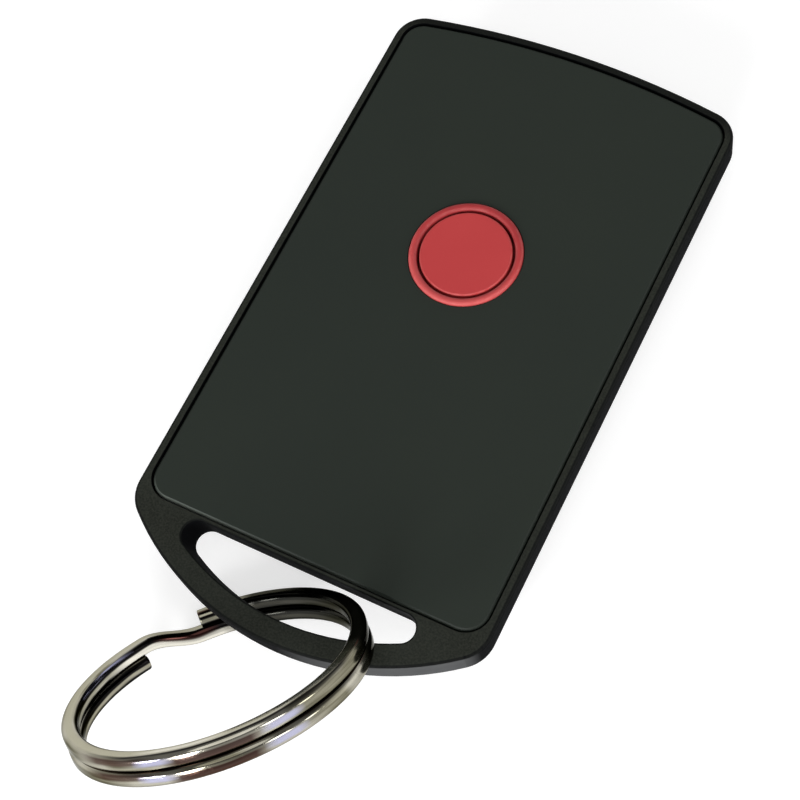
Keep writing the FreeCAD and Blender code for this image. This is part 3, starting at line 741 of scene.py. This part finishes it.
studio = {
    "floorSize": 3.0,  # m
    "floorColour": (0.6, 0.6, 0.6, 1.0), "floorGlow": 0.6, "floorRough": 0.9, "floorSpecular": 0.1,
    "floorFade": (0.1, 0.35),  # m from the middle, over which the floor fades to plain white
    "skyLow": 1.0, "skyHigh": 0.22,  # strength near the horizon and overhead
    "skyFall": (0.22, 0.55),  # upward part of the direction, between which the strength falls
    "lampDistance": 0.65,  # m
    "lamps": (
        # azimuth from +X and elevation in degrees, size in m, and share of the light on the floor
        (-106, 20, 0.17, 0.1),
        (-79, 26, 0.19, 0.18),
        (-50, 74, 0.6, 0.25),
        (-11, 31, 0.19, 0.08),
        (17, 21, 0.15, 0.035),
    ),
}


def shownRays(tree):
    # 1 for what the camera sees straight or by reflection and through glass, 0 for the light
    # that falls on the object
    path = tree.nodes.new("ShaderNodeLightPath")
    seen = mathNode(tree, "MAXIMUM", path.outputs["Is Camera Ray"], path.outputs["Is Glossy Ray"])
    return mathNode(tree, "MAXIMUM", seen, path.outputs["Is Transmission Ray"])


def makeFloor(look):
    half = look["floorSize"] / 2.0
    corners = [(-half, -half, 0.0), (half, -half, 0.0), (half, half, 0.0), (-half, half, 0.0)]
    mesh = bpy.data.meshes.new("floor")
    mesh.from_pydata(corners, [], [(0, 1, 2, 3)])
    floor = bpy.data.objects.new("floor", mesh)
    bpy.context.scene.collection.objects.link(floor)
    material, tree, shader, where = newMaterial("paleFloor")
    away = tree.nodes.new("ShaderNodeVectorMath")
    away.operation = "LENGTH"
    tree.links.new(where, away.inputs[0])
    fade = span(tree, away.outputs["Value"], *look["floorFade"])
    colour = mixColour(tree, fade, look["floorColour"], (0.0, 0.0, 0.0, 1.0))
    tree.links.new(colour, shader.inputs["Base Color"])
    shader.inputs["Roughness"].default_value = look["floorRough"]
    shader.inputs["Specular IOR Level"].default_value = look["floorSpecular"]
    shader.inputs["Emission Color"].default_value = (1.0, 1.0, 1.0, 1.0)
    glow = span(tree, fade, 0.0, 1.0, look["floorGlow"], 1.0)
    tree.links.new(times(tree, shownRays(tree), glow), shader.inputs["Emission Strength"])
    mesh.materials.append(material)


def makeWorld(look):
    # white near the horizon, which low views see, and dimmer overhead, which lights the object
    world = bpy.data.worlds.new("studio")
    bpy.context.scene.world = world
    world.use_nodes = True
    tree = world.node_tree
    background = tree.nodes["Background"]
    background.inputs["Color"].default_value = (1.0, 1.0, 1.0, 1.0)
    direction = tree.nodes.new("ShaderNodeTexCoord").outputs["Generated"]
    rise = addNode(tree, "ShaderNodeSeparateXYZ", Vector=direction).outputs["Z"]
    strength = span(tree, rise, *look["skyFall"], look["skyLow"], look["skyHigh"])
    tree.links.new(strength, background.inputs["Strength"])


def makeLamps(look):
    for number, (azimuth, elevation, size, share) in enumerate(look["lamps"]):
        azimuth, elevation = math.radians(azimuth), math.radians(elevation)
        light = bpy.data.lights.new(f"lamp{number}", "AREA")
        light.shape, light.size = "DISK", size
        light.energy = share * math.pi ** 2 * look["lampDistance"] ** 2 / math.sin(elevation)
        lamp = bpy.data.objects.new(f"lamp{number}", light)
        bpy.context.scene.collection.objects.link(lamp)
        level = math.cos(elevation)
        away = Vector((math.cos(azimuth) * level, math.sin(azimuth) * level, math.sin(elevation)))
        lamp.location = away * look["lampDistance"]
        lamp.rotation_mode = "QUATERNION"
        lamp.rotation_quaternion = away.to_track_quat("Z", "Y")


makeFloor(studio)
makeWorld(studio)
makeLamps(studio)
bpy.context.scene.view_settings.view_transform = "Standard"
print("studio lit")

print("scene ready")
